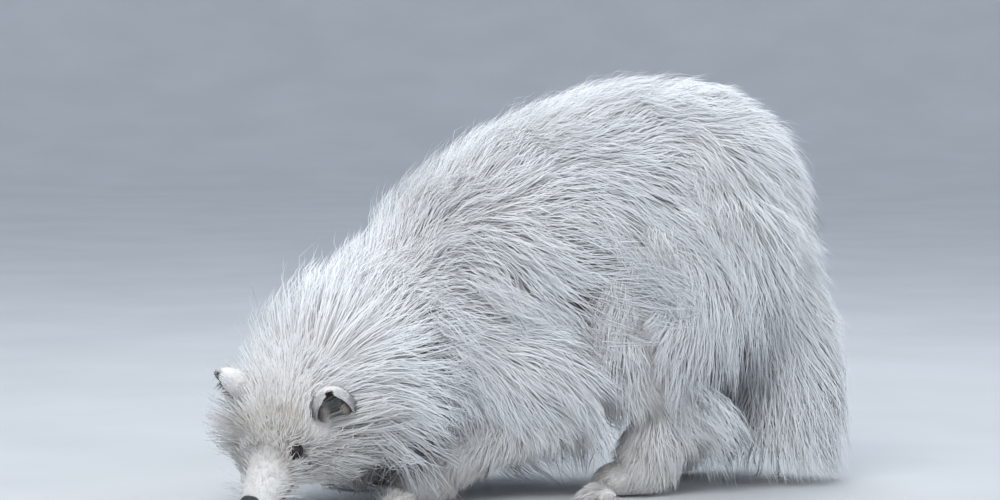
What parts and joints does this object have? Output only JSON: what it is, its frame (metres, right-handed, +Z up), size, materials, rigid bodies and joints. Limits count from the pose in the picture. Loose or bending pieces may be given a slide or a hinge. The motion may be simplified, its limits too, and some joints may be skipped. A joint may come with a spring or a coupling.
{
  "type": "samoyed dog",
  "caption": "Life-size still model of a long-coated white dog, rump high and forequarters lowered, head turned to one side with its muzzle just above the ground.",
  "frame": {"origin": "under the middle of the dog's bounding box, on the ground", "axes": "+X towards the rump, -X towards the head, -Y is the dog's left side, +Z up"},
  "size_m": [0.9228, 0.4674, 0.6022],
  "materials": {
    "coat": "long white fur, straight outer hair over dense undercoat",
    "ruff": "long white fur, standing out round the neck",
    "face": "short cream-white fur",
    "ear": "short fur over pink-tan skin, dark inside",
    "eye": "wet, dark brown",
    "nose_leather": "moist, finely grained black",
    "claw": "hard, dark horn"
  },
  "bodies": {
    "root": {"torso": "coat", "neck": "ruff", "head": "face", "ear_left": "ear", "ear_right": "ear", "eye_left": "eye", "eye_right": "eye", "nose": "nose_leather", "foreleg_left": "coat", "foreleg_right": "coat", "hind_leg_left": "coat", "hind_leg_right": "coat", "tail": "coat", "hind_foot_left": "coat", "hind_foot_right": "coat", "claw_foreleg_left_1": "claw", "claw_foreleg_left_2": "claw", "claw_foreleg_left_3": "claw", "claw_foreleg_left_4": "claw", "claw_foreleg_right_1": "claw", "claw_foreleg_right_2": "claw", "claw_foreleg_right_3": "claw", "claw_foreleg_right_4": "claw", "claw_hind_leg_left_1": "claw", "claw_hind_leg_left_2": "claw", "claw_hind_leg_left_3": "claw", "claw_hind_leg_left_4": "claw", "claw_hind_leg_right_1": "claw", "claw_hind_leg_right_2": "claw", "claw_hind_leg_right_3": "claw", "claw_hind_leg_right_4": "claw"}
  },
  "joints": []
}
